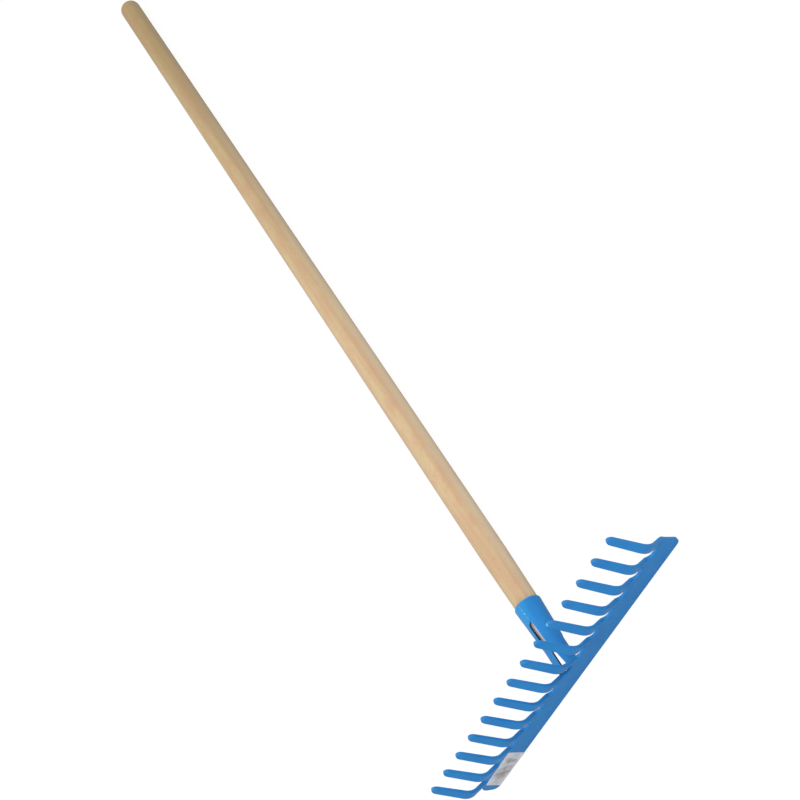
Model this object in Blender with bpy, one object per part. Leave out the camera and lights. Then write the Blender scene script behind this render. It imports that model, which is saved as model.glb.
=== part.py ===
"""Garden rake with a pressed steel head, a rolled socket and a turned wooden handle.

The rake lies on its back: the straight back edge of the head rests on the ground and the
teeth point up. The handle runs along +Y, the head along X, and the teeth along +Z.
Lengths below are millimetres and angles are degrees. While the pieces are built, the
handle's axis is the Y axis, and Y is 0 at the rim of the socket.
"""
import math

import bmesh
import bpy
from mathutils import Matrix, Vector

MM = 0.001

# Gap that is left between two pieces that touch
SEAT_GAP = 0.3

# Handle, turned from one piece of wood
HANDLE_DIAMETER = 28.0
HANDLE_REACH = 1172.5       # socket rim to grip end
TENON_LENGTH = 49.5         # the tapered length inside the socket
TENON_CHAMFER = 2.0
SHOULDER_LENGTH = 70.0      # rim to the full diameter
GRIP_DOME_LENGTH = 10.5
GRIP_DOME_POWER = 0.8       # below 1 the dome is blunter than half an ellipse
HANDLE_SEGMENTS = 36
DOME_STEPS = 9

# Socket, rolled from one sheet
SOCKET_SHEET = 1.4
SOCKET_LIP = 0.6            # how much wider its rim is than the handle, on the radius
SOCKET_LENGTH = 81.3        # rim to foot
SOCKET_CONE_LENGTH = 53.5   # below it the two legs run straight
SOCKET_TAPER = 2.7          # loss of radius along the cone
SOCKET_SEGMENTS = 48
SEAM_WIDTH = 0.8
SEAM_SIDE = 1.4             # how far the seam runs to the right of the slot's middle
SLOT_START = 23.8           # rim to the slot that the seam passes through
SLOT_LENGTH = 26.2
SLOT_WIDTH = 6.2
LEG_GAP_LEFT = 2.0          # the gap between the legs at the foot, from the slot's middle
LEG_GAP_RIGHT = 7.8
WINDOW_START = 47.5         # rim to the top of the window at the back
WINDOW_WIDTH = 20.0
WINDOW_CORNER_RADIUS = 4.0
SLOT_STEPS = 16
WINDOW_CORNER_STEPS = 6

# Head, pressed from one plate
HEAD_SHEET = 4.0
BACK_REACH = 17.8           # handle axis to the straight back edge
PLATE_DEPTH = 27.1          # back edge to the bend where the necks begin
NECK_LENGTH = 22.2          # that bend to the heel
NECK_ANGLE = 28.8           # how steeply the necks leave the plate, away from the handle
TOOTH_LENGTH = 44.8         # heel to tip
TOOTH_ANGLE = 17.8          # how far the teeth lean back towards the handle
NECK_BEND_RADIUS = 10.0
HEEL_BEND_RADIUS = 22.0
TOOTH_COUNT = 14
TOOTH_PITCH = 26.62
ROOT_WIDTH = 10.3           # a tooth tapers from here, at the gullet,
HEEL_WIDTH = 9.6            # through here
TIP_WIDTH = 7.8             # to here, where its end would be if it weren't round
TIP_LENGTH = 5.7
GULLET_DEPTH = 20.6         # back edge to the bottom of the gaps between the teeth
GULLET_RADIUS = 1.5
LEFT_END_REACH = 9.3        # middle of the first tooth to the left end of the plate
LEFT_CORNER_RADIUS = 7.0
RIGHT_END_REACH = 4.2       # middle of the last tooth to the right end of the plate
RIGHT_CORNER_RADIUS = 6.5
FRONT_CORNER_LENGTH = 8.0
CORNER_CLEARANCE = 1.5      # least width that a corner leaves beside a tooth's middle column
EDGE_BREAK = 0.5
BEND_STEP = 7.0             # degrees between two rows of a bend
ROW_SPACING = 0.15          # rows closer than this become one

# Weld on the seam of the socket
SEAM_WELD_START = 3.0       # rim to the bead
SEAM_WELD_LENGTH = 15.0
SEAM_WELD_WIDTH = 5.0
SEAM_WELD_HEIGHT = 1.5
SEAM_WELD_RIPPLES = 6
RIPPLE_STEPS = 4
RIPPLE_DEPTH = 0.3

# Welds that join the legs of the socket to the plate
FOOT_WELD_LEG = 3.6
FOOT_WELD_SEAM_ANGLE = 22.0  # about the handle axis, from the side of the socket
FOOT_WELD_BACK_ANGLE = 28.0
FOOT_WELD_FULLNESS = 1.6    # 2 gives a flat face, less a fuller one
FOOT_WELD_STEPS = 16
FOOT_WELD_FACE_STEPS = 3

# A bead of weld starts and ends at this share of its full size
BEAD_END_SHARE = 0.4
BEAD_END_RUN = 0.15         # share of its length over which it swells

# Nail that holds the handle in the socket
NAIL_DROP = 37.0            # rim to the nail
NAIL_AZIMUTH = 24.0         # degrees from the side towards the seam
NAIL_LENGTH = 18.0
NAIL_DIAMETER = 2.6
NAIL_POINT_LENGTH = 4.0
NAIL_HEAD_DIAMETER = 5.6
NAIL_HEAD_RIM = 0.45
NAIL_HEAD_HEIGHT = 1.5
NAIL_HEAD_STEPS = 4
NAIL_SEGMENTS = 20

HANDLE_RADIUS = HANDLE_DIAMETER / 2
RIM_RADIUS = HANDLE_RADIUS + SOCKET_LIP
CONE_ANGLE = math.atan2(SOCKET_TAPER, SOCKET_CONE_LENGTH)
PLATE_MIDDLE = -(SOCKET_LENGTH + SEAT_GAP + HEAD_SHEET / 2)


def clear_scene():
    for item in list(bpy.data.objects):
        bpy.data.objects.remove(item, do_unlink=True)


def make_material(name, colour, roughness, metallic):
    material = bpy.data.materials.new(name)
    material.use_nodes = True
    shader = material.node_tree.nodes["Principled BSDF"]
    shader.inputs["Base Color"].default_value = (*colour, 1.0)
    shader.inputs["Roughness"].default_value = roughness
    shader.inputs["Metallic"].default_value = metallic
    material.diffuse_color = (*colour, 1.0)
    return material


def add_object(name, builder, material=None):
    """Scale a bmesh from millimetres to metres and link it as a named object."""
    bmesh.ops.scale(builder, vec=(MM, MM, MM), verts=builder.verts)
    bmesh.ops.recalc_face_normals(builder, faces=builder.faces)
    mesh = bpy.data.meshes.new(name)
    builder.to_mesh(mesh)
    builder.free()
    mesh.shade_smooth()
    mesh.set_sharp_from_angle(angle=math.radians(35))
    item = bpy.data.objects.new(name, mesh)
    bpy.context.scene.collection.objects.link(item)
    if material:
        mesh.materials.append(material)
    return item


def add_cutter(name, builder, target):
    """Link a hidden cutting body and subtract it from the target."""
    cutter = add_object(name, builder)
    cutter.hide_render = True
    cutter.display_type = "WIRE"
    cut = target.modifiers.new(name, "BOOLEAN")
    cut.operation = "DIFFERENCE"
    cut.solver = "EXACT"
    cut.object = cutter


def turned(profile, segments):
    """Spin (radius, height) points about +Y; the ends of the profile may lie on the axis."""
    builder = bmesh.new()
    points = [builder.verts.new((radius, height, 0)) for radius, height in profile]
    edges = [builder.edges.new(pair) for pair in zip(points, points[1:])]
    if profile[0][0] > 0:
        edges.append(builder.edges.new((points[-1], points[0])))
    bmesh.ops.spin(builder, geom=points + edges, cent=(0, 0, 0), axis=(0, 1, 0),
                   angle=math.tau, steps=segments, use_merge=True)
    bmesh.ops.remove_doubles(builder, verts=builder.verts, dist=0.001)
    return builder


def prism(outline, low, high):
    """Extrude an outline of (x, y) points along Z, from low to high."""
    builder = bmesh.new()
    face = builder.faces.new([builder.verts.new((x, y, low)) for x, y in outline])
    raised = bmesh.ops.extrude_face_region(builder, geom=[face])["geom"]
    raised_points = [item for item in raised if isinstance(item, bmesh.types.BMVert)]
    bmesh.ops.translate(builder, vec=(0, 0, high - low), verts=raised_points)
    return builder


def loft(sections):
    """Closed body through a row of closed sections with the same number of points each."""
    builder = bmesh.new()
    rings = [[builder.verts.new(point) for point in section] for section in sections]
    for low, high in zip(rings, rings[1:]):
        for here in range(len(low)):
            after = (here + 1) % len(low)
            builder.faces.new((low[here], low[after], high[after], high[here]))
    builder.faces.new(rings[0])
    builder.faces.new(rings[-1])
    return builder


def arc(centre, radius, first, last, steps):
    """Points of a circular arc, angles in degrees."""
    points = []
    for step in range(steps + 1):
        angle = math.radians(first + (last - first) * step / steps)
        points.append((centre[0] + radius * math.cos(angle), centre[1] + radius * math.sin(angle)))
    return points


def socket_radius(drop):
    """Outer radius of the socket at a distance below its rim."""
    return RIM_RADIUS - SOCKET_TAPER * min(max(drop / SOCKET_CONE_LENGTH, 0.0), 1.0)


def tenon_radius(drop):
    """Radius of the wood inside the socket."""
    return socket_radius(drop) - SOCKET_SHEET - SEAT_GAP


def build_handle(wood):
    """A straight round stave: tapered tenon, long shoulder, shaft and a domed grip end."""
    profile = [(0.0, -TENON_LENGTH),
               (tenon_radius(TENON_LENGTH) - TENON_CHAMFER, -TENON_LENGTH),
               (tenon_radius(TENON_LENGTH - TENON_CHAMFER), TENON_CHAMFER - TENON_LENGTH),
               (tenon_radius(0.0), 0.0),
               (HANDLE_RADIUS, SHOULDER_LENGTH)]
    dome_foot = HANDLE_REACH - GRIP_DOME_LENGTH
    for step in range(DOME_STEPS):
        angle = math.pi / 2 * step / DOME_STEPS
        radius = HANDLE_RADIUS * math.cos(angle) ** GRIP_DOME_POWER
        profile.append((radius, dome_foot + GRIP_DOME_LENGTH * math.sin(angle)))
    profile.append((0.0, HANDLE_REACH))
    return add_object("handle", turned(profile, HANDLE_SEGMENTS), wood)


def slot_outline():
    """The seam, the slot and the gap between the legs as one outline of (x, y) points."""
    radius = SLOT_WIDTH / 2
    seam_left = SEAM_SIDE - SEAM_WIDTH / 2
    seam_right = SEAM_SIDE + SEAM_WIDTH / 2
    below = -SOCKET_LENGTH - HEAD_SHEET
    top = arc((0, -SLOT_START - radius), radius, 0, 180, SLOT_STEPS)
    foot = arc((0, radius - SLOT_START - SLOT_LENGTH), radius, 180, 360, SLOT_STEPS)
    right_of_seam = [point for point in top if point[0] > seam_right]
    left_of_seam = [point for point in top if point[0] < seam_left]
    round_foot = [point for point in foot if point[0] < LEG_GAP_LEFT]
    return ([(LEG_GAP_RIGHT, below), foot[-1]] + right_of_seam
            + [(seam_right, HEAD_SHEET), (seam_left, HEAD_SHEET)]
            + left_of_seam + round_foot + [(LEG_GAP_LEFT, below)])


def window_outline():
    """The window at the back of the socket, open at the foot, as (x, y)."""
    half = WINDOW_WIDTH / 2
    corner = WINDOW_CORNER_RADIUS
    below = -SOCKET_LENGTH - HEAD_SHEET
    corner_y = -WINDOW_START - corner
    right = arc((half - corner, corner_y), corner, 0, 90, WINDOW_CORNER_STEPS)
    left = arc((corner - half, corner_y), corner, 90, 180, WINDOW_CORNER_STEPS)
    return [(half, below)] + right + left + [(-half, below)]


def build_socket(paint):
    """A rolled sheet cone with a slotted seam in front and a window between its legs behind."""
    leg = socket_radius(SOCKET_LENGTH)
    profile = [(RIM_RADIUS - SOCKET_SHEET, 0.0),
               (RIM_RADIUS, 0.0),
               (leg, -SOCKET_CONE_LENGTH),
               (leg, -SOCKET_LENGTH),
               (leg - SOCKET_SHEET, -SOCKET_LENGTH),
               (leg - SOCKET_SHEET, -SOCKET_CONE_LENGTH)]
    socket = add_object("socket", turned(profile, SOCKET_SEGMENTS), paint)
    add_cutter("slot_cutter", prism(slot_outline(), 0.0, 2 * RIM_RADIUS), socket)
    add_cutter("window_cutter", prism(window_outline(), -2 * RIM_RADIUS, 0.0), socket)
    return socket


def head_path():
    """Straight runs and bends of the head's middle surface, from back edge to tip.

    Each entry is (length, turn, radius): a straight run has turn 0, and a bend turns
    towards the handle where its angle is positive.
    """
    heel_turn = NECK_ANGLE + TOOTH_ANGLE
    neck_tangent = NECK_BEND_RADIUS * math.tan(math.radians(NECK_ANGLE / 2))
    heel_tangent = HEEL_BEND_RADIUS * math.tan(math.radians(heel_turn / 2))
    return [(PLATE_DEPTH - neck_tangent, 0.0, 0.0),
            (NECK_BEND_RADIUS * math.radians(NECK_ANGLE), -NECK_ANGLE, NECK_BEND_RADIUS),
            (NECK_LENGTH - neck_tangent - heel_tangent, 0.0, 0.0),
            (HEEL_BEND_RADIUS * math.radians(heel_turn), heel_turn, HEEL_BEND_RADIUS),
            (TOOTH_LENGTH - heel_tangent, 0.0, 0.0)]


def place_on_path(travel):
    """Position (y, z) of the middle surface at a distance from the back edge."""
    y, z, heading = PLATE_MIDDLE, -BACK_REACH, 0.0
    for length, turn, radius in head_path():
        part = min(travel, length)
        if turn:
            swing = math.radians(turn) * part / length
            y += math.copysign(radius, turn) * (math.cos(heading) - math.cos(heading + swing))
            z += math.copysign(radius, turn) * (math.sin(heading + swing) - math.sin(heading))
            heading += swing
        else:
            y += part * math.sin(heading)
            z += part * math.cos(heading)
        travel -= part
        if travel <= 0:
            break
    return y, z


def tapered_half_width(travel, tip_travel):
    """Half width of a tooth by its taper alone."""
    heel = PLATE_DEPTH + NECK_LENGTH
    if travel < heel:
        share = (heel - travel) / (heel - GULLET_DEPTH)
        return (HEEL_WIDTH + (ROOT_WIDTH - HEEL_WIDTH) * share) / 2
    share = (travel - heel) / (tip_travel - heel)
    return (HEEL_WIDTH + (TIP_WIDTH - HEEL_WIDTH) * share) / 2


def tooth_half_width(travel, tip_travel):
    """Half width of a tooth: a fillet at the gullet, tapered sides and a round tip."""
    to_root = GULLET_DEPTH + GULLET_RADIUS - travel
    to_tip = tip_travel - travel
    half = tapered_half_width(travel, tip_travel)
    if to_root > 0:
        half += GULLET_RADIUS - math.sqrt(max(GULLET_RADIUS ** 2 - to_root ** 2, 0.0))
    if to_tip < TIP_LENGTH:
        half *= math.sqrt(max(1 - (1 - to_tip / TIP_LENGTH) ** 2, 0.0))
    return half


def end_half_width(travel, reach, corner):
    """Distance from an end tooth's middle to the end of the plate, up to the heel."""
    front_start = GULLET_DEPTH + GULLET_RADIUS - FRONT_CORNER_LENGTH
    if travel < corner:
        return reach - corner + math.sqrt(corner ** 2 - (corner - travel) ** 2)
    share = min(max((travel - front_start) / FRONT_CORNER_LENGTH, 0.0), 1.0)
    return HEEL_WIDTH / 2 + (reach - HEEL_WIDTH / 2) * math.sqrt(1 - share ** 2)


def plate_end(index, side):
    """Reach and corner radius where this side of this tooth is an end of the plate."""
    if index == 0 and side < 0:
        return LEFT_END_REACH, LEFT_CORNER_RADIUS
    if index == TOOTH_COUNT - 1 and side > 0:
        return RIGHT_END_REACH, RIGHT_CORNER_RADIUS
    return None


def middle_column(index, travel):
    """Sideways place of a tooth's middle column, which gives way to a corner of the plate."""
    for side in (-1, 1):
        end = plate_end(index, side)
        if end:
            return side * min(end_half_width(travel, *end) - CORNER_CLEARANCE, 0.0)
    return 0.0


def bend_rows():
    """Distances from the back edge of the rows that follow the bends."""
    rows = []
    start = 0.0
    for length, turn, _ in head_path():
        if turn:
            count = max(2, round(abs(turn) / BEND_STEP))
            rows += [start + length * step / count for step in range(count + 1)]
        start += length
    return rows


def head_rows(tip_travel):
    """Distances from the back edge of all rows, split in two where the gaps begin."""
    rows = bend_rows()
    rows += [LEFT_CORNER_RADIUS * (1 - math.cos(math.radians(a))) for a in (30, 60, 90)]
    rows += [RIGHT_CORNER_RADIUS * (1 - math.cos(math.radians(a))) for a in (45, 90)]
    root_end = GULLET_DEPTH + GULLET_RADIUS
    rows += [root_end - FRONT_CORNER_LENGTH * (1 - math.sin(math.radians(a))) for a in (0, 30)]
    rows += [root_end - GULLET_RADIUS * math.cos(math.radians(a)) for a in (30, 60, 90)]
    rows += [tip_travel - TIP_LENGTH * (1 - math.sin(math.radians(a))) for a in (0, 25, 45, 62)]
    spaced = [0.0]
    for row in sorted(rows):
        if row - spaced[-1] > ROW_SPACING and abs(row - GULLET_DEPTH) > ROW_SPACING:
            spaced.append(row)
    plate = [row for row in spaced if row < GULLET_DEPTH]
    teeth = [row for row in spaced if row > GULLET_DEPTH]
    return plate + [GULLET_DEPTH], [GULLET_DEPTH] + teeth


def build_head(paint):
    """One plate: a comb laid out flat by rows, bent along its path, then given its sheet."""
    builder = bmesh.new()
    tip_travel = sum(length for length, _, _ in head_path())
    plate_rows, tooth_rows = head_rows(tip_travel)

    def point(x, travel):
        y, z = place_on_path(travel)
        return builder.verts.new((x, y, z))

    def stitch(rows):
        for low, high in zip(rows, rows[1:]):
            for a in range(len(low) - 1):
                builder.faces.new((low[a], low[a + 1], high[a + 1], high[a]))

    for index in range(TOOTH_COUNT):
        middle = (index - (TOOTH_COUNT - 1) / 2) * TOOTH_PITCH
        for side in (-1, 1):
            end = plate_end(index, side)
            rows = []
            for travel in plate_rows:
                reach = [ROOT_WIDTH / 2 + GULLET_RADIUS, TOOTH_PITCH / 2]
                if end:
                    reach = [end_half_width(travel, *end)]
                row = [point(middle + middle_column(index, travel), travel)]
                rows.append(row + [point(middle + side * x, travel) for x in reach])
            stitch(rows)
            rows = []
            for travel in tooth_rows:
                width = tooth_half_width(travel, tip_travel)
                if end and travel < PLATE_DEPTH + NECK_LENGTH:
                    width = end_half_width(travel, *end)
                rows.append([point(middle, travel), point(middle + side * width, travel)])
            stitch(rows)
            builder.faces.new((*rows[-1], point(middle, tip_travel)))
    bmesh.ops.remove_doubles(builder, verts=builder.verts, dist=0.001)
    head = add_object("rake_head", builder, paint)
    sheet = head.modifiers.new("sheet", "SOLIDIFY")
    sheet.thickness = HEAD_SHEET * MM
    sheet.offset = 0.0
    sheet.use_even_offset = True
    edge = head.modifiers.new("edge", "BEVEL")
    edge.width = EDGE_BREAK * MM
    edge.segments = 1
    edge.limit_method = "ANGLE"
    edge.angle_limit = math.radians(40)


def swell(share):
    """Size of a bead along its length, as a share of its full size."""
    to_end = min(share, 1 - share) / BEAD_END_RUN
    return BEAD_END_SHARE + (1 - BEAD_END_SHARE) * math.sin(math.pi / 2 * min(to_end, 1.0))


def build_seam_weld(paint):
    """A rippled bead over the seam, carried along the cone by its slope."""
    sections = []
    steps = SEAM_WELD_RIPPLES * RIPPLE_STEPS
    for step in range(steps + 1):
        share = step / steps
        drop = SEAM_WELD_START + SEAM_WELD_LENGTH * share
        ripple = 1 - abs(math.sin(math.pi * SEAM_WELD_RIPPLES * share))
        height = (SEAM_WELD_HEIGHT - RIPPLE_DEPTH * ripple) * swell(share)
        half = SEAM_WELD_WIDTH / 2 * swell(share)
        seat = socket_radius(drop) + SEAT_GAP
        section = []
        for across in (-1, -0.5, 0, 0.5, 1):
            x = SEAM_SIDE + across * half
            section.append((x, -drop, math.sqrt(seat ** 2 - x ** 2)))
        for across in (0.8, 0.4, 0, -0.4, -0.8):
            x = SEAM_SIDE + across * half
            crown = height * math.sqrt(1 - across ** 2)
            section.append((x, -drop, math.sqrt(seat ** 2 - x ** 2) + crown))
        sections.append(section)
    add_object("seam_weld", loft(sections), paint)


def build_foot_weld(name, side, paint):
    """A fillet of weld in the corner between a leg and the plate, along the leg's outside."""
    wall = socket_radius(SOCKET_LENGTH) + SEAT_GAP
    floor = -SOCKET_LENGTH
    sections = []
    for step in range(FOOT_WELD_STEPS + 1):
        share = step / FOOT_WELD_STEPS
        turn = (FOOT_WELD_SEAM_ANGLE + FOOT_WELD_BACK_ANGLE) * share - FOOT_WELD_SEAM_ANGLE
        angle = math.radians(turn)
        leg = FOOT_WELD_LEG * swell(share)
        corner = [(wall, floor)]
        for face_step in range(FOOT_WELD_FACE_STEPS + 1):
            tilt = math.pi / 2 * face_step / FOOT_WELD_FACE_STEPS
            out = abs(math.sin(tilt)) ** FOOT_WELD_FULLNESS
            up = abs(math.cos(tilt)) ** FOOT_WELD_FULLNESS
            corner.append((wall + leg * out, floor + leg * up))
        sections.append([(side * radius * math.cos(angle), y, -radius * math.sin(angle))
                         for radius, y in corner])
    add_object(name, loft(sections), paint)


def nail_placement():
    """Matrix that takes +Y, the nail's outward direction, to the socket's surface normal."""
    azimuth = math.radians(NAIL_AZIMUTH)
    side = Vector((math.cos(azimuth), 0, math.sin(azimuth)))
    seat = side * (socket_radius(NAIL_DROP) + SEAT_GAP) + Vector((0, -NAIL_DROP, 0))
    outward = side * math.cos(CONE_ANGLE) - Vector((0, math.sin(CONE_ANGLE), 0))
    turn = Vector((0, 1, 0)).rotation_difference(outward)
    return Matrix.Translation(seat) @ turn.to_matrix().to_4x4()


def build_nail(steel, socket, handle):
    """A round-headed nail through the side of the socket into the wood, with its hole."""
    radius = NAIL_DIAMETER / 2
    head = NAIL_HEAD_DIAMETER / 2
    profile = [(0.0, -NAIL_LENGTH), (radius, NAIL_POINT_LENGTH - NAIL_LENGTH), (radius, 0.0),
               (head, 0.0)]
    for step in range(NAIL_HEAD_STEPS):
        angle = math.pi / 2 * step / NAIL_HEAD_STEPS
        rise = NAIL_HEAD_RIM + (NAIL_HEAD_HEIGHT - NAIL_HEAD_RIM) * math.sin(angle)
        profile.append((head * math.cos(angle), rise))
    profile.append((0.0, NAIL_HEAD_HEIGHT))
    placement = nail_placement()
    body = turned(profile, NAIL_SEGMENTS)
    bmesh.ops.transform(body, matrix=placement, verts=body.verts)
    add_object("fixing_nail", body, steel)
    bore = radius + SEAT_GAP
    hole_end = -NAIL_LENGTH - SEAT_GAP
    hole = [(0.0, hole_end), (bore, hole_end), (bore, NAIL_HEAD_HEIGHT), (0.0, NAIL_HEAD_HEIGHT)]
    for target in (socket, handle):
        drill = turned(hole, NAIL_SEGMENTS)
        bmesh.ops.transform(drill, matrix=placement, verts=drill.verts)
        add_cutter("nail_drill_" + target.name, drill, target)


def rest_on_ground():
    """Hang every piece from one empty that centres them and puts the back edge on Z = 0."""
    depsgraph = bpy.context.evaluated_depsgraph_get()
    corners = []
    for item in bpy.data.objects:
        if not item.hide_render:
            mesh = item.evaluated_get(depsgraph).to_mesh()
            corners += [vertex.co.copy() for vertex in mesh.vertices]
    low = [min(corner[axis] for corner in corners) for axis in range(3)]
    high = [max(corner[axis] for corner in corners) for axis in range(3)]
    pieces = list(bpy.data.objects)
    frame = bpy.data.objects.new("rake_frame", None)
    bpy.context.scene.collection.objects.link(frame)
    frame.location = (-(low[0] + high[0]) / 2, -(low[1] + high[1]) / 2, -low[2])
    for item in pieces:
        item.parent = frame


def main():
    clear_scene()
    wood = make_material("beech_wood", (0.62, 0.42, 0.22), 0.55, 0.0)
    paint = make_material("blue_enamel", (0.03, 0.18, 0.53), 0.4, 0.0)
    steel = make_material("zinc_steel", (0.55, 0.56, 0.58), 0.35, 1.0)
    handle = build_handle(wood)
    socket = build_socket(paint)
    build_head(paint)
    build_seam_weld(paint)
    build_foot_weld("right_foot_weld", 1, paint)
    build_foot_weld("left_foot_weld", -1, paint)
    build_nail(steel, socket, handle)
    rest_on_ground()


main()
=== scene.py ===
"""The looks of a garden rake: enamelled steel head and socket, turned beech handle.

Lengths are millimetres until a mesh is made. Every shape is worked out in the maker's
frame, where the handle's axis is the Y axis, Y is 0 at the rim of the socket and the
teeth point to +Z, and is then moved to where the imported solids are. A drop is a distance
below the rim, and travel is the way along the bent plate of the head from its back edge.
"""

import math

import bpy
import numpy as np
from mathutils import Matrix, Vector


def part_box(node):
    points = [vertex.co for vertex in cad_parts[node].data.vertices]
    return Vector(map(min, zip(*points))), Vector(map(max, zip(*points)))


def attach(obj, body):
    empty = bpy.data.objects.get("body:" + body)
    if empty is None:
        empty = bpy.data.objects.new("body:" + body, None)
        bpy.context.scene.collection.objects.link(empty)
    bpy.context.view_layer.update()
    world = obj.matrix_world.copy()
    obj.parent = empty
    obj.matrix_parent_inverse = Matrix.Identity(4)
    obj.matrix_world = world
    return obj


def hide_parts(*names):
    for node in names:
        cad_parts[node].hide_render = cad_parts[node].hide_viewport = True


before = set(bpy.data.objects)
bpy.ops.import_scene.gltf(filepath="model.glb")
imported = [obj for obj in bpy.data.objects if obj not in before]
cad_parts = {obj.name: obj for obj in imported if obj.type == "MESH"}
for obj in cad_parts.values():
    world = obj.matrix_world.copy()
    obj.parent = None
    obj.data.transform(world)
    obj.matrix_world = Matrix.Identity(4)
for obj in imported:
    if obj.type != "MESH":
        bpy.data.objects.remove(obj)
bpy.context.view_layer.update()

MM = 0.001
BODY = "root"
MERGE_DECIMALS = 4          # points of a flat sheet that agree to this place are one point
ROW_DECIMALS = 3
ROW_STEP_LEAST = 0.02
TINY = 1e-12                # keeps a division by the length of an empty segment safe

HANDLE_LOW, HANDLE_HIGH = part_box("handle")
_, SOCKET_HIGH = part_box("socket")
HOME = np.array([(HANDLE_LOW.x + HANDLE_HIGH.x) / 2, SOCKET_HIGH.y,
                 (HANDLE_LOW.z + HANDLE_HIGH.z) / 2])

# Handle
HANDLE_RADIUS = 14.0
HANDLE_REACH = 1171.4       # from the rim to the grip end
TENON_LENGTH = 49.5
TENON_CHAMFER = 2.0
TENON_WHITTLE = 3.2
TENON_WHITTLE_POWER = 0.4
SHOULDER_LENGTH = 70.0
DOME_LENGTH = 12.0
DOME_POWER = 0.86
TENON_ROWS = 25
TENON_CROWDING = 1.6        # the rows crowd below the rim, where the whittling starts
SHOULDER_ROWS = 8
SHAFT_ROWS = 60
DOME_ROWS = 21
HANDLE_SEGMENTS = 96

# Socket
SHEET = 1.4
SEAT_GAP = 0.3
RIM_RADIUS = 14.6
SOCKET_LENGTH = 81.3
CONE_LENGTH = 53.5
SOCKET_TAPER = 2.7
SEAM_LEFT = 1.0             # sideways places of the seam's two edges
SEAM_RIGHT = 1.8
SLOT_RADIUS = 3.1
SLOT_START = 23.8
SLOT_END = 50.0
LEG_GAP_LEFT = 2.0
LEG_GAP_RIGHT = 7.8
LEG_GAP_END = 85.3
WINDOW_START = 47.5
WINDOW_HALF = 10.7
WINDOW_CORNER = 4.0
SHEET_EDGE = 0.45
SHEET_COLUMNS = 19
BACK_COLUMNS = 9
SEAM_ROWS = (1, 22, 15)     # first drop, last drop and number of the rows beside the seam
SLOT_ROWS = (28, 46, 13)
LEG_ROWS = (55, 81, 18)
CONE_END_ROWS = (-1, 1, 5)  # the same, counted from the end of the cone
CHART_ROWS = 120            # rows by which the distance to the sheet's edges is measured

# Head: the lengths of its plate, necks and teeth run between the corners that its bends round
PLATE = 4.0
BACK_REACH = 17.8           # from the handle's axis to the back edge
PLATE_DEPTH = 25.1
NECK_LENGTH = 23.8
NECK_ANGLE = 26.2
TOOTH_LENGTH = 44.85
TOOTH_ANGLE = 17.8
NECK_BEND = 8.0
HEEL_BEND = 22.0
TEETH = 14
PITCH = 26.62
ROOT_HALF = 5.15
HEEL_HALF = 4.8
TIP_HALF = 3.9
TIP_LENGTH = 5.7
GULLET_DEPTH = 21.1
GULLET_RADIUS = 5.0
SHOULDER_END = 22.1         # where the outer side of an end tooth leaves the plate
LEFT_END = (9.3, 7.0)       # reach past the tooth's middle, corner radius
RIGHT_END = (4.2, 6.5)
FRONT_CORNER = 8.0
CORNER_CLEARANCE = 1.5
PLATE_EDGE = 0.9
PLATE_ROWS = (9.0, 2.6, 5)  # first row, distance of the last row from the gullets, number
GAP_COLUMNS = 5
INNER_COLUMNS = (0.0, 0.25, 0.5)    # shares of a tooth's half width
BEND_STEPS = 12
RUN_STEPS = 6

# Degrees round an arc at which it has a row of points
CORNER_TURNS = (40, 52, 64, 77, 90)
GULLET_TURNS = (0, 15, 30, 45, 60, 75, 90)
TIP_TURNS = (0, 15, 30, 42, 53, 63, 72, 80, 86, 90)
SLOT_TURNS = (10, 20, 30, 40, 50, 60, 70, 80, 90)
WINDOW_TURNS = (15, 30, 45, 60, 75, 90)
EDGE_TURNS = (0, 22.5, 45, 67.5, 90)
EDGE_PAST = 1.35            # one more row past a rounded edge, as a share of its radius

# Seam weld: a low bead over the rolled edges with a few lumps (drop, sideways shift, height)
SEAM_BEAD_START = 1.5
SEAM_BEAD_END = 23.0
SEAM_BEAD_HALF = 2.3
SEAM_BEAD_HEIGHT = 0.35
SEAM_BEAD_RIPPLES = 9
SEAM_BEAD_WAVE = (0.1, 0.4)         # shares of its width and its height lost between ripples
SEAM_BEAD_DRAWN = 0.07      # share of the bead over which each end is drawn to a point
SEAM_BEAD_STEPS = 194
SEAM_LUMPS = ((4.6, 0.2, 0.3), (8.7, 0.7, 0.7), (13.3, 0.9, 1.0), (20.3, 0.4, 0.5))
SEAM_LUMP_LENGTH = 1.4

# Foot welds: fillets between the legs and the plate, angles about the handle's axis
FOOT_BEAD_LOW = -28.0
FOOT_BEAD_HIGH = 22.0
FOOT_BEAD_HALF = 2.3
FOOT_BEAD_HEIGHT = 1.3
FOOT_BEAD_RIPPLES = 5
FOOT_BEAD_WAVE = (0.15, 0.35)
FOOT_RIPPLE_POWER = 0.7
FOOT_BEAD_DRAWN = 0.12
FOOT_BEAD_STEPS = 97
FOOT_BEAD_OFF = 0.5         # distance of the bead's spine from the leg and from the plate
BEAD_SEGMENTS = 28
BEAD_SUNK = 0.9

# Nail
NAIL_DROP = 37.0
NAIL_AZIMUTH = 24.0
NAIL_LENGTH = 18.0
NAIL_RADIUS = 1.3
NAIL_POINT = 4.0
NAIL_COLLAR = 2.0
NAIL_HEAD = 2.8
NAIL_RIM = 0.45
NAIL_RIM_POWER = 0.3
NAIL_CROWN = 1.5
NAIL_CROWN_POWER = 0.8
NAIL_SUNK = 0.1
NAIL_HEAD_ROWS = 13
NAIL_SEGMENTS = 40

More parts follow.
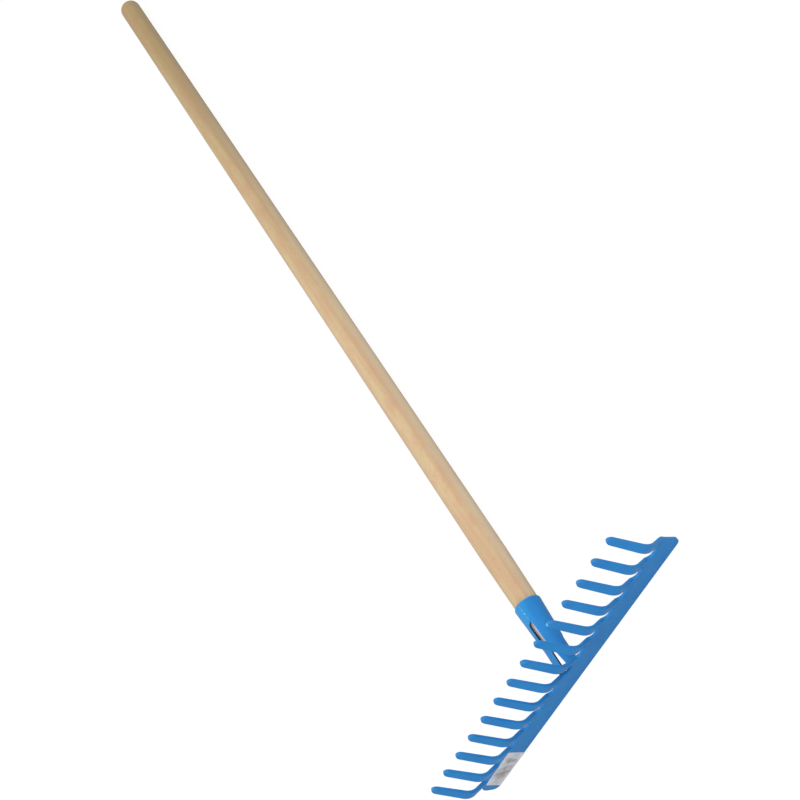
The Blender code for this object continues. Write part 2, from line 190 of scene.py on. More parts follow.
# Label on the outer side of the plate: its corners as (sideways, distance from the back edge)
LABEL_CORNERS = ((-175.3, 0.6), (-123.1, 0.6), (-120.2, 24.3), (-171.8, 22.4))
LABEL_LENGTH = 52.0
LABEL_DEPTH = 18.0
LABEL_ROUND = 1.6
LABEL_LIFT = 0.12
LABEL_RIPPLE = 0.2
LABEL_WAVES = ((7.3, 2.1, 0.0), (3.1, -4.7, 1.0))   # factors of u and v, and the phase
LABEL_CURL = 2.0
LABEL_CURL_LINE = (0.8, -0.6, -0.9)                 # factors of u and v, and the start
LABEL_ROWS = 37
LABEL_COLUMNS = 105

# Paler and stained places of the paint, the wood and the label, and places where light and
# shade are painted into them. A spot has its middle and its half sizes in the maker's frame,
# and the share of the way in at which it is whole. Two values are where a mask is 0 and
# where it is 1: drops, if nothing else is said.
# Painted highlight: the top of the socket over the seam is painted a lighter blue.
SEAM_HIGHLIGHT_SPOT = ((-3.0, -12.0, 14.0), (13.0, 30.0, 13.0))
SEAM_HIGHLIGHT_SPOT_FULL = 0.6
LABEL_SPOT = ((-148.0, -85.6, -6.2), (30.0, 30.0, 12.5))
LABEL_SPOT_FULL = 0.55
TIP_PALE_HEIGHTS = (82.0, 89.7)     # heights above the ground
RIM_PALE_BAND = (1.1, 0.3)
GLINT_HEIGHTS = (0.6, 1.45)         # heights above the cone where pale glints are painted, a painted highlight
GLINT_END = (45.0, 43.0)
SUNK_HEIGHTS = (-0.2, -0.5)         # heights inside the sheet, where the paint is darkened as painted shade
SUNK_START = (2.0, 4.0)
SUNK_END = (SOCKET_LENGTH + 0.1, SOCKET_LENGTH - 0.3)
INSIDE_SHADE_SHARE = 0.85
# Painted shade: the wood darkens toward the grip end, as light falling off along the handle.
GRIP_SHADE_REACH = (-420.0, -1100.0)
LIT_SIDE_REACH = (11.0, HANDLE_RADIUS)    # sideways from the handle's axis, over which the +X side is painted paler as painted light
LIT_SIDE_SHARE = 0.6
# Painted light: the tenon's wood below the rim is painted near white against the socket's shade.
TENON_PAINTED_LIGHT = (2.0, 20.0)
TENON_PAINTED_LIGHT_SHARE = 0.95

# Patterns: size in millimetres, detail, stretch along the handle, two limits of the noise
# and the values at them
PAINT_CLOUD = (30.0, 2.0, 1, 0.35, 0.65, 0.0, 1.0)
PAINT_DRIFT = (7.0, 3.0, 1, 0.3, 0.7, 0.0, 0.3)
PAINT_ROUGH = (12.0, 2.0, 1, 0.3, 0.7, 0.32, 0.42)
TIP_PALE_PATTERN = (2.2, 3.0, 1, 0.5, 0.68, 0.0, 0.35)
RIM_PALE_PATTERN = (3.5, 2.0, 1, 0.42, 0.6, 0.15, 0.75)
WOOD_FIGURE = (9.0, 2.0, 30, 0.38, 0.62, 0.0, 1.0)
WOOD_PATCH = (12.0, 3.0, 2.2, 0.42, 0.66, 0.0, 0.65)
WOOD_FIBRE = (1.3, 3.0, 40, 0.3, 0.7, 0.0, 1.0)
WOOD_FLECK = (1.2, 1.0, 5, 0.64, 0.74, 0.0, 0.28)
LABEL_SCUFF = (5.0, 5.0, 1, 0.38, 0.62, 0.0, 1.0)
LABEL_STAIN = (7.0, 4.0, 1, 0.36, 0.62, 0.1, 0.85)
PAINT_PEEL = (1.6, 1.0)     # size and detail of the noise behind a bump
LABEL_GRAIN = (3.0, 2.0)
NOISE_ROUGHNESS = 0.55

# Paint, wood and paper; a pair is the colour of the shaft and of the grip end, which is darker as
# painted shade of the light falling off along the handle
PAINT_DEEP = "#1E83D3"
PAINT_CLEAR = "#208CDB"
PAINT_TEAL = "#1B97CF"
# Painted light: the next three colours are a painted highlight on the top of the socket, painted
# glints on the welds and the nail head, and painted shade inside the socket.
PAINT_SEAM_HIGHLIGHT = "#279DE2"
PAINT_GLINT = "#78CDF7"
PAINT_INSIDE_SHADE = "#33455A"
PAINT_RIM_PALE = "#A8CBD8"
PAINT_TIP = "#86A8C0"
PAINT_IOR = 1.42
PAINT_RELIEF = 0.12         # depth of the bump in millimetres
WOOD_PALE = ("#E3C89A", "#C1A973")
WOOD_PINK = ("#DAB78F", "#B79A68")
WOOD_FLUSH = ("#DDB08C", "#BF9870")
# Painted light: the next colour pair paints the +X side of the stave paler.
WOOD_LIT_SIDE = ("#EEDABA", "#BCA678")
WOOD_DARK = "#B08D62"
WOOD_DARK_SHARE = 0.15
WOOD_RAY = "#9C744B"
# Painted light: the next colour paints the tenon inside the socket near white against its shade.
WOOD_INSIDE_LIT = "#F3E9E6"
WOOD_SHEEN = 0.18
WOOD_SHEEN_ROUGHNESS = 0.5
WOOD_ROUGHNESS = 0.65
WOOD_IOR = 1.45
WOOD_RELIEF = 0.1
PAPER_DULL = "#E4E8F2"
PAPER_CLEAN = "#FAFBFF"
PAPER_STAIN = "#98918A"
PAPER_ROUGHNESS = 0.5
PAPER_IOR = 1.45
PAPER_RELIEF = 0.2
BUMP_STRENGTH = 0.3

# Studio, metres
WORLD_LEVEL = 0.66
FLOOR_REACH = 12.0
FLOOR_TONE = "#C0C0C0"
FLOOR_GLOW = 0.85
FLOOR_WHITE = 1.12
FLOOR_MIRROR = 0.2
WORLD_MIRROR = 0.4
WHITE = (1, 1, 1, 1)
LAMP_AIM = (0.0, -0.3, 0.03)
LAMPS = (("front_lamp", (0.9, -0.8, 1.3), 0.9, 8.5),      # arm from the aim, width, watts
         ("back_lamp", (-0.5, 0.85, 1.45), 0.3, 4.2))

# Camera: its place from the rim of the socket and the directions of its right side and its
# back; its shift moves the picture by a fraction of a pixel
CAMERA_PLACE = (863.8, -743.7, 1047.2)
CAMERA_RIGHT = (0.4285, -0.4424, -0.7878)
CAMERA_BACK = (0.5009, -0.6094, 0.6146)
CAMERA_LENS = 69.9
CAMERA_SENSOR = 36.0
CAMERA_CLIP = 50.0
CAMERA_SHIFT = (0.00025, 0.000125)


def arc_shares(turns):
    """Distances from the edge of a quarter circle, as shares of its radius."""
    return 1 - np.cos(np.radians(turns))


EDGE_SHARES = np.append(arc_shares(EDGE_TURNS), EDGE_PAST)


# Meshes

def to_mesh(name, points, faces):
    """Put millimetre points of the maker's frame and lists of faces into an object."""
    mesh = bpy.data.meshes.new(name)
    placed = np.asarray(points) * MM + HOME
    mesh.from_pydata(placed.tolist(), [], [face for group in faces for face in group.tolist()])
    mesh.update()
    mesh.shade_smooth()
    piece = bpy.data.objects.new(name, mesh)
    bpy.context.scene.collection.objects.link(piece)
    return piece


def dress(piece, material, nodes):
    """Give a piece its material, its body and the solids that it stands for."""
    piece.data.materials.append(material)
    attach(piece, BODY)
    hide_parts(*nodes)


def grid_quads(rows, columns, round_trip=False):
    """Index quads of a rows x columns grid; round_trip joins the last column to the first."""
    index = np.arange(rows * columns).reshape(rows, columns)
    if round_trip:
        index = np.concatenate([index, index[:, :1]], axis=1)
    return np.stack([index[:-1, :-1], index[:-1, 1:], index[1:, 1:], index[1:, :-1]],
                    axis=-1).reshape(-1, 4)


def capped_tube(rings, low, high):
    """Points and faces of a tube of closed rings, shut by a fan to one point at each end."""
    count, segments = rings.shape[:2]
    here = np.arange(segments)
    after = (here + 1) % segments
    first = count * segments
    low_fan = np.stack([np.full(segments, first), after, here], axis=-1)
    last = first - segments
    high_fan = np.stack([np.full(segments, first + 1), last + here, last + after], axis=-1)
    quads = grid_quads(count, segments, round_trip=True)
    return np.concatenate([rings.reshape(-1, 3), [low, high]]), [quads, low_fan, high_fan]


def turned(profile, segments):
    """Surface of revolution about +Y: a profile of (radius, height) from pole to pole.

    Point = (r sin a, height, r cos a) for evenly spaced angles a.
    """
    radius, height = profile[1:-1].T
    angle = np.linspace(0, math.tau, segments, endpoint=False)
    rings = np.stack([radius[:, None] * np.sin(angle),
                      np.broadcast_to(height[:, None], (len(radius), segments)),
                      radius[:, None] * np.cos(angle)], axis=-1)
    return capped_tube(rings, [0, profile[0][1], 0], [0, profile[-1][1], 0])


def unit(vectors):
    """Vectors of length one in the same directions."""
    return vectors / np.linalg.norm(vectors, axis=-1, keepdims=True)


def bead(spine, outward, half, height, sunk):
    """A bead of weld along a spine, its two ends drawn to a point.

    Point = spine + half * across * cos a + outward * the height times sin a squared above
    the spine, or the sunk depth times sin a below it; across is square to both.
    """
    along = unit(np.gradient(spine, axis=0))
    across = unit(np.cross(outward, along))
    outward = unit(np.cross(along, across))
    angle = np.linspace(0, math.tau, BEAD_SEGMENTS, endpoint=False)[None, :, None]
    lift = np.where(np.sin(angle) > 0, height[:, None, None] * np.sin(angle) ** 2,
                    sunk * np.sin(angle))
    rings = spine[:, None] + half[:, None, None] * across[:, None] * np.cos(angle) \
        + outward[:, None] * lift
    return capped_tube(rings[1:-1], spine[0], spine[-1])


def distance_to(points, lines):
    """Distance from each point to the nearest segment of the given polylines, in the flat."""
    starts = np.concatenate([line[:-1] for line in lines])
    runs = np.concatenate([line[1:] - line[:-1] for line in lines])
    offset = points[:, None, :] - starts[None]
    share = (offset * runs).sum(-1) / np.maximum((runs ** 2).sum(-1), TINY)
    nearest = offset - np.clip(share, 0, 1)[..., None] * runs
    return np.sqrt((nearest ** 2).sum(-1)).min(axis=1)


def edge_height(distance, half, radius):
    """Half thickness of a sheet near its rounded edge: a quarter circle, then flat."""
    inner = np.clip(radius - distance, 0, radius)
    return half - radius + np.sqrt(radius ** 2 - inner ** 2)


def flat_grid(across, travel):
    """Points of a flat grid, from the places across each row and the place of the row."""
    return np.stack([across, np.broadcast_to(travel[:, None], across.shape)],
                    axis=-1).reshape(-1, 2)


def merge_flat(points, quads):
    """Join equal points of a flat sheet: the points that are kept, its quads and triangles.

    A quad with a repeated corner becomes a triangle.
    """
    _, kept, back = np.unique(np.round(points, MERGE_DECIMALS), axis=0, return_index=True,
                              return_inverse=True)
    quads = back.reshape(-1)[quads]
    folded = quads[:, 2] == quads[:, 3]
    return kept, quads[~folded], quads[folded][:, :3]


def sheet_faces(quads, triangles, count):
    """Faces of a closed sheet: the outer side, the inner side and the wall between them."""
    edges = np.concatenate([quads[:, [k, (k + 1) % 4]] for k in range(4)]
                           + [triangles[:, [k, (k + 1) % 3]] for k in range(3)])
    _, back, times = np.unique(np.sort(edges, axis=1), axis=0, return_inverse=True,
                               return_counts=True)
    rim = edges[times[back.reshape(-1)] == 1]
    wall = np.stack([rim[:, 1], rim[:, 0], rim[:, 0] + count, rim[:, 1] + count], axis=-1)
    return [quads, triangles, quads[:, ::-1] + count, triangles[:, ::-1] + count, wall]


# Head: a flat comb that is bent along its path

def head_runs():
    """Straight runs and bends (length, turn, radius) of the head, from back edge to tip."""
    heel = NECK_ANGLE + TOOTH_ANGLE
    neck_tangent = NECK_BEND * math.tan(math.radians(NECK_ANGLE / 2))
    heel_tangent = HEEL_BEND * math.tan(math.radians(heel / 2))
    return [(PLATE_DEPTH - neck_tangent, 0.0, 0.0),
            (NECK_BEND * math.radians(NECK_ANGLE), -NECK_ANGLE, NECK_BEND),
            (NECK_LENGTH - neck_tangent - heel_tangent, 0.0, 0.0),
            (HEEL_BEND * math.radians(heel), heel, HEEL_BEND),
            (TOOTH_LENGTH - heel_tangent, 0.0, 0.0)]


HEEL = PLATE_DEPTH + NECK_LENGTH
TIP = sum(length for length, _, _ in head_runs())
ROOT_END = GULLET_DEPTH + GULLET_RADIUS


def bend_head(across, travel, rise):
    """Point at a distance from the back edge along the bent middle surface, and off it.

    A straight run adds its length along the heading; a bend adds the chord of its arc
    and turns the heading evenly. The rise is added at right angles to the heading.
    """
    y = np.full_like(travel, -(SOCKET_LENGTH + SEAT_GAP + PLATE / 2))
    z = np.full_like(travel, -BACK_REACH)
    heading = np.zeros_like(travel)
    start = 0.0
    for length, turn, radius in head_runs():
        part = np.clip(travel - start, 0, length)
        if turn:
            swing = math.radians(turn) * part / length
            side = math.copysign(radius, turn)
            y += side * (np.cos(heading) - np.cos(heading + swing))
            z += side * (np.sin(heading + swing) - np.sin(heading))
            heading += swing
        else:
            y += part * np.sin(heading)
            z += part * np.cos(heading)
        start += length
    return np.stack([across, y - rise * np.cos(heading), z + rise * np.sin(heading)], axis=-1)


def tooth_width(travel):
    """Half width of a tooth: a gullet fillet, sides that taper in two straight runs, a tip.

    The fillet and the round tip are a quarter circle and a quarter ellipse.
    """
    side = np.interp(travel, [GULLET_DEPTH, HEEL, TIP], [ROOT_HALF, HEEL_HALF, TIP_HALF])
    to_root = np.clip(ROOT_END - travel, 0, GULLET_RADIUS)
    fillet = GULLET_RADIUS - np.sqrt(GULLET_RADIUS ** 2 - to_root ** 2)
    to_tip = np.clip((TIP - travel) / TIP_LENGTH, 0, 1)
    return (side + fillet) * np.sqrt(1 - (1 - to_tip) ** 2)


def end_width(travel, end):
    """Half width of an end tooth on its outer side, with the two corners of the plate."""
    reach, corner = end
    back = np.clip(corner - travel, 0, corner)
    plate = reach - corner + np.sqrt(corner ** 2 - back ** 2)
    share = np.clip((travel - SHOULDER_END + FRONT_CORNER) / FRONT_CORNER, 0, 1)
    front = HEEL_HALF + (reach - HEEL_HALF) * np.sqrt(1 - share ** 2)
    plate = np.where(travel < corner, plate, front)
    return np.where(travel < HEEL, plate, tooth_width(travel))


def head_rows():
    """Distances from the back edge of the rows of points on the plate and on the teeth."""
    edge = PLATE_EDGE * EDGE_SHARES
    first, short, count = PLATE_ROWS
    plate = np.concatenate([edge, LEFT_END[1] * arc_shares(CORNER_TURNS),
                            np.linspace(first, GULLET_DEPTH - short, count),
                            GULLET_DEPTH - edge])
    fillet = ROOT_END - GULLET_RADIUS * np.cos(np.radians(GULLET_TURNS))
    bends = []
    start = 0.0
    for length, turn, _ in head_runs():
        steps = BEND_STEPS if turn else RUN_STEPS
        bends.append(start + length * np.linspace(0, 1, steps + 1))
        start += length
    tip = TIP - TIP_LENGTH * (1 - np.sin(np.radians(TIP_TURNS)))
    teeth = np.concatenate([fillet] + bends + [tip])
    teeth = np.unique(np.round(teeth[teeth >= GULLET_DEPTH], ROW_DECIMALS))
    teeth = teeth[(teeth <= TIP - TIP_LENGTH) | np.isin(teeth, np.round(tip, ROW_DECIMALS))]
    teeth[-1] = TIP
    return np.unique(np.round(plate, ROW_DECIMALS)), teeth


def half_columns():
    """Shares of a tooth's half width at which it has a column of points."""
    edge = 1 - PLATE_EDGE * EDGE_SHARES[::-1] / HEEL_HALF
    return np.concatenate([INNER_COLUMNS, edge])


def comb_cell(left_end, right_end):
    """Flat points and quads of one tooth with its share of the plate, and its outline.

    Columns spread to each side from a middle line, which gives way where a corner of the
    plate comes near it.
    """
    plate_rows, tooth_rows = head_rows()
    all_rows = np.concatenate([plate_rows, tooth_rows[1:]])
    columns = half_columns()
    points, quads, lines, count = [], [], [], 0
    middle = np.zeros_like(all_rows)
    for side, end in ((-1, left_end), (1, right_end)):
        if end:
            middle += side * np.minimum(end_width(all_rows, end) - CORNER_CLEARANCE, 0)

    def patch(across, travel, flip):
        """Add a grid; one on the left side is flipped, so that it faces the same way."""
        nonlocal count
        points.append(flat_grid(across, travel))
        found = grid_quads(*across.shape) + count
        quads.append(found[:, [1, 0, 3, 2]] if flip else found)
        count += across.size

    for side, end in ((-1, left_end), (1, right_end)):
        if end:
            width = end_width(all_rows, end)
        else:
            width = np.where(all_rows < GULLET_DEPTH, ROOT_HALF + GULLET_RADIUS,
                             tooth_width(all_rows))
            gap = np.linspace(ROOT_HALF + GULLET_RADIUS, PITCH / 2, GAP_COLUMNS)
            patch(side * np.broadcast_to(gap, (len(plate_rows), len(gap))), plate_rows,
                  side < 0)
        patch(middle[:, None] + (side * width - middle)[:, None] * columns, all_rows, side < 0)
        rim = np.stack([side * width, all_rows], axis=-1)
        if not end:
            rim = np.concatenate([[[side * PITCH, GULLET_DEPTH]],
                                  rim[all_rows >= GULLET_DEPTH]])
        lines.append(rim)
        outer = side * (width[0] if end else PITCH)
        lines.append(np.array([[0.0, 0.0], [outer, 0.0]]))
    return np.concatenate(points), np.concatenate(quads), lines


def build_head(paint):
    """Fourteen cells side by side, joined into one sheet, given a rounded edge and bent."""
    flat, quads, edge, count = [], [], [], 0
    for index in range(TEETH):
        left = LEFT_END if index == 0 else None
        right = RIGHT_END if index == TEETH - 1 else None
        points, faces, lines = comb_cell(left, right)
        edge.append(distance_to(points, lines))
        flat.append(points + [(index - (TEETH - 1) / 2) * PITCH, 0])
        quads.append(faces + count)
        count += len(points)
    flat, edge = np.concatenate(flat), np.concatenate(edge)
    kept, quads, triangles = merge_flat(flat, np.concatenate(quads))
    across, travel = flat[kept].T
    rise = edge_height(edge[kept], PLATE / 2, PLATE_EDGE)
    outer = bend_head(across, travel, rise)
    inner = bend_head(across, travel, -rise)
    faces = sheet_faces(quads, triangles, len(kept))
    head = to_mesh("pressed_head", np.concatenate([outer, inner]), faces)
    dress(head, paint, ["rake_head"])


# Socket: a flat sheet that is rolled into a cone

def socket_radius(drop):
    """Outer radius of the socket at a drop: a cone and then a straight tube."""
    return RIM_RADIUS - SOCKET_TAPER * np.clip(drop / CONE_LENGTH, 0, 1)


def seam_side_right(drop):
    """Sideways place of the right edge of the rolled sheet: seam, slot, flaring leg."""
    slot_top = SLOT_START + SLOT_RADIUS
    slot_foot = SLOT_END - SLOT_RADIUS
    rise = np.clip(slot_top - drop, 0, SLOT_RADIUS)
    slot = np.maximum(np.sqrt(SLOT_RADIUS ** 2 - rise ** 2), SEAM_RIGHT)
    slope = (LEG_GAP_RIGHT - SLOT_RADIUS) / (LEG_GAP_END - slot_foot)
    return np.where(drop > slot_foot, SLOT_RADIUS + slope * (drop - slot_foot),
                    np.where(drop < SLOT_START, SEAM_RIGHT, slot))


def seam_side_left(drop):
    """Sideways place of the left edge of the rolled sheet: seam, slot, straight leg."""
    slot_top = SLOT_START + SLOT_RADIUS
    slot_foot = SLOT_END - SLOT_RADIUS
    rise = np.clip(np.maximum(slot_top - drop, drop - slot_foot), 0, SLOT_RADIUS)
    slot = -np.sqrt(SLOT_RADIUS ** 2 - rise ** 2)
    return np.where(drop <= SLOT_START, SEAM_LEFT, np.where(drop >= SLOT_END, LEG_GAP_LEFT, slot))


def window_side(drop):
    """Half width of the window at the back, with its round corners."""
    corner = np.clip(WINDOW_START + WINDOW_CORNER - drop, 0, WINDOW_CORNER)
    return WINDOW_HALF - WINDOW_CORNER + np.sqrt(WINDOW_CORNER ** 2 - corner ** 2)


def socket_rows():
    """Drops of the rows of points, crowded at the edges and the round corners."""
    edge = SHEET_EDGE * EDGE_SHARES
    slot = SLOT_RADIUS * arc_shares(SLOT_TURNS)
    corner = WINDOW_CORNER * arc_shares(WINDOW_TURNS)
    rows = [edge, np.linspace(*SEAM_ROWS), SLOT_START - edge, SLOT_START + slot,
            np.linspace(*SLOT_ROWS), SLOT_END - slot, SLOT_END + edge,
            WINDOW_START - edge, WINDOW_START + corner,
            CONE_LENGTH + np.linspace(*CONE_END_ROWS), np.linspace(*LEG_ROWS),
            SOCKET_LENGTH - edge]
    rows = np.unique(np.round(np.concatenate(rows), ROW_DECIMALS))
    return rows[np.append(True, np.diff(rows) > ROW_STEP_LEAST)]


def rolled_edge_distance(angle, drop):
    """Distance along the sheet to its nearest edge, from a chart of the front and the back."""
    radius = socket_radius(drop)
    line = np.unique(np.concatenate([socket_rows(),
                                     np.linspace(0, SOCKET_LENGTH, CHART_ROWS)]))

    def chart(side, rows):
        """Flat line of an edge: its arc from the middle of the front or the back, its drop."""
        arc = np.arcsin(side / socket_radius(rows)) * socket_radius(rows)
        return np.stack([arc, rows], axis=-1)

    turn = (angle + math.pi) % math.tau - math.pi
    front = np.stack([turn * radius, drop], axis=-1)
    behind = np.stack([(angle - math.pi) * radius, drop], axis=-1)
    leg = line[line >= WINDOW_START]
    window = [chart(window_side(leg), leg), chart(-window_side(leg), leg),
              chart(np.array([-1.0, 1.0]) * (WINDOW_HALF - WINDOW_CORNER),
                    np.full(2, WINDOW_START))]
    near = np.minimum(distance_to(front, [chart(seam_side_right(line), line),
                                          chart(seam_side_left(line), line)]),
                      distance_to(behind, window))
    return np.minimum(near, np.minimum(drop, SOCKET_LENGTH - drop))


def build_socket(paint):
    """Strips from the seam round both legs to the window, and the band above the window.

    Point = (r sin a, -drop, r cos a), where r is the cone's radius at that drop plus the
    rise off the sheet's middle, and a is the angle from the teeth side towards +X.
    """
    rows = socket_rows()
    radius = socket_radius(rows)
    edge = SHEET_EDGE * EDGE_SHARES
    body = np.linspace(0, 1, SHEET_COLUMNS)[1:-1]
    above = rows[rows <= WINDOW_START]
    window = np.arcsin(window_side(rows) / radius)
    points, quads, count = [], [], 0
    strips = [(np.arcsin(seam_side_right(rows) / radius), math.pi - window),
              (math.pi + window, math.tau + np.arcsin(seam_side_left(rows) / radius))]
    for start, stop in strips:
        margin = edge[-1] / radius[:, None]
        low = start[:, None] + edge / radius[:, None]
        high = stop[:, None] - edge[::-1] / radius[:, None]
        middle = start[:, None] + margin + (stop - start)[:, None] * body \
            - 2 * margin * body
        angle = np.concatenate([low, middle, high], axis=1)
        points.append(flat_grid(angle, rows))
        quads.append(grid_quads(*angle.shape) + count)
        count += angle.size
    half = window[:len(above), None]
    angle = math.pi + half * np.linspace(-1, 1, BACK_COLUMNS)
    points.append(flat_grid(angle, above))
    quads.append(grid_quads(*angle.shape) + count)
    flat = np.concatenate(points)
    kept, quads, triangles = merge_flat(flat, np.concatenate(quads))
    angle, drop = flat[kept].T
    rise = edge_height(rolled_edge_distance(angle, drop), SHEET / 2, SHEET_EDGE)

    def roll(lift):
        """Points of the sheet at a rise off its middle."""
        ring = socket_radius(drop) - SHEET / 2 + lift
        return np.stack([ring * np.sin(angle), -drop, ring * np.cos(angle)], axis=-1)

    faces = sheet_faces(quads, triangles, len(kept))
    socket = to_mesh("rolled_socket", np.concatenate([roll(rise), roll(-rise)]), faces)
    dress(socket, paint, ["socket"])


# Handle, nail, welds and label

def build_handle(wood):
    """A turned stave: tapered tenon, long shoulder, shaft and a blunt dome.

    Below the rim the tenon is whittled thinner than the socket's cone by a power of the
    drop, so a shadow shows beside it in the slot. The shoulder widens evenly. On the dome
    the radius is a power of the cosine of an angle, and the height is its sine.
    """
    drop = (TENON_LENGTH - TENON_CHAMFER) * np.linspace(1, 0, TENON_ROWS) ** TENON_CROWDING
    tenon = socket_radius(drop) - SHEET - SEAT_GAP \
        - TENON_WHITTLE * (drop / TENON_LENGTH) ** TENON_WHITTLE_POWER
    top = tenon[-1]
    rise = np.linspace(0, 1, SHOULDER_ROWS)[1:]
    foot = HANDLE_REACH - DOME_LENGTH
    shaft = np.linspace(SHOULDER_LENGTH, foot, SHAFT_ROWS)[1:]
    turn = np.radians(np.linspace(0, 90, DOME_ROWS)[1:-1])
    profile = np.concatenate([
        [(0.0, -TENON_LENGTH), (tenon[0] - TENON_CHAMFER, -TENON_LENGTH)],
        np.stack([tenon, -drop], axis=-1),
        np.stack([top + (HANDLE_RADIUS - top) * rise, SHOULDER_LENGTH * rise], axis=-1),
        np.stack([np.full_like(shaft, HANDLE_RADIUS), shaft], axis=-1),
        np.stack([HANDLE_RADIUS * np.cos(turn) ** DOME_POWER,
                  foot + DOME_LENGTH * np.sin(turn)], axis=-1),
        [(0.0, HANDLE_REACH)]])
    points, faces = turned(profile, HANDLE_SEGMENTS)
    handle = to_mesh("turned_stave", points, faces)
    dress(handle, wood, ["handle"])


def drawn(share, reach):
    """Rise of a bead's size from its ends: the root of the distance, up to a share of reach."""
    return np.sqrt(np.clip(np.minimum(share, 1 - share) / reach, 0, 1))


def build_seam_bead(paint):
    """The bead follows the seam down the cone, with fine ripples and a few round lumps.

    Its size follows the square of a sine along it. Each lump adds its height and its
    sideways shift times a bell curve of the drop.
    """
    share = np.linspace(0, 1, SEAM_BEAD_STEPS)
    drop = SEAM_BEAD_START + (SEAM_BEAD_END - SEAM_BEAD_START) * share
    radius = socket_radius(drop)
    place, shift, lump = np.array(SEAM_LUMPS).T
    bell = np.exp(-((drop[:, None] - place) / SEAM_LUMP_LENGTH) ** 2)
    middle = (SEAM_LEFT + SEAM_RIGHT) / 2 + bell @ shift
    spine = np.stack([middle, -drop, np.sqrt(radius ** 2 - middle ** 2)], axis=-1)
    outward = np.stack([middle, np.zeros_like(middle), spine[:, 2]], axis=-1)
    ripple = np.sin(math.pi * SEAM_BEAD_RIPPLES * share) ** 2
    swell = drawn(share, SEAM_BEAD_DRAWN)
    wide, tall = SEAM_BEAD_WAVE
    half = SEAM_BEAD_HALF * (1 - wide + wide * ripple) * swell
    height = (SEAM_BEAD_HEIGHT * (1 - tall + tall * ripple) + bell @ lump) * swell
    points, faces = bead(spine, outward, half, height, BEAD_SUNK)
    weld = to_mesh("seam_bead", points, faces)
    dress(weld, paint, ["seam_weld"])


def build_foot_beads(paint):
    """A fillet bends round the outside of each leg, in its corner with the plate.

    Its spine is an arc about the handle's axis, and its size follows a power of a sine.
    """
    wide, tall = FOOT_BEAD_WAVE
    share = np.linspace(0, 1, FOOT_BEAD_STEPS)
    turn = np.radians(FOOT_BEAD_LOW + (FOOT_BEAD_HIGH - FOOT_BEAD_LOW) * share)
    leg = RIM_RADIUS - SOCKET_TAPER
    for side, name, node in ((1, "right_foot_bead", "right_foot_weld"),
                             (-1, "left_foot_bead", "left_foot_weld")):
        radial = np.stack([side * np.cos(turn), np.zeros_like(turn), np.sin(turn)], axis=-1)
        spine = radial * (leg + FOOT_BEAD_OFF) \
            - [0, SOCKET_LENGTH + SEAT_GAP - FOOT_BEAD_OFF, 0]
        outward = radial + [0, 1, 0]
        ripple = np.abs(np.sin(math.pi * FOOT_BEAD_RIPPLES * share + side)) \
            ** FOOT_RIPPLE_POWER
        swell = drawn(share, FOOT_BEAD_DRAWN)
        half = FOOT_BEAD_HALF * (1 - wide + wide * ripple) * swell
        height = FOOT_BEAD_HEIGHT * (1 - tall + tall * ripple) * swell
        points, faces = bead(spine, outward, half, height, BEAD_SUNK)
        weld = to_mesh(name, points, faces)
        dress(weld, paint, [node])


def build_nail(paint):
    """A nail turned about its own axis, stood square to the cone beside the slot.

    On its head the radius is a power of the cosine of an angle, and the height is its sine
    and a power of its sine, which gives the head a low upright rim.
    """
    turn = np.radians(np.linspace(0, 90, NAIL_HEAD_ROWS)[:-1])
    profile = np.concatenate([
        [(0.0, -NAIL_LENGTH), (NAIL_RADIUS, NAIL_POINT - NAIL_LENGTH),
         (NAIL_RADIUS, -NAIL_COLLAR), (NAIL_RADIUS, -NAIL_SUNK),
         (NAIL_HEAD - NAIL_SUNK, -NAIL_SUNK)],
        np.stack([NAIL_HEAD * np.cos(turn) ** NAIL_CROWN_POWER,
                  NAIL_RIM * np.sin(turn) ** NAIL_RIM_POWER
                  + (NAIL_CROWN - NAIL_RIM) * np.sin(turn)], axis=-1),
        [(0.0, NAIL_CROWN)]])
    points, faces = turned(profile, NAIL_SEGMENTS)
    azimuth = math.radians(NAIL_AZIMUTH)
    slope = math.atan2(SOCKET_TAPER, CONE_LENGTH)
    side = np.array([math.cos(azimuth), 0, math.sin(azimuth)])
    outward = side * math.cos(slope) - np.array([0, math.sin(slope), 0])
    across = unit(np.cross(outward, [0.0, 1.0, 0.0]))
    seat = side * (socket_radius(NAIL_DROP) + NAIL_SUNK) - [0, NAIL_DROP, 0]
    placed = seat + points @ np.stack([across, outward, np.cross(across, outward)])
    nail = to_mesh("painted_nail", placed, faces)
    dress(nail, paint, ["fixing_nail"])


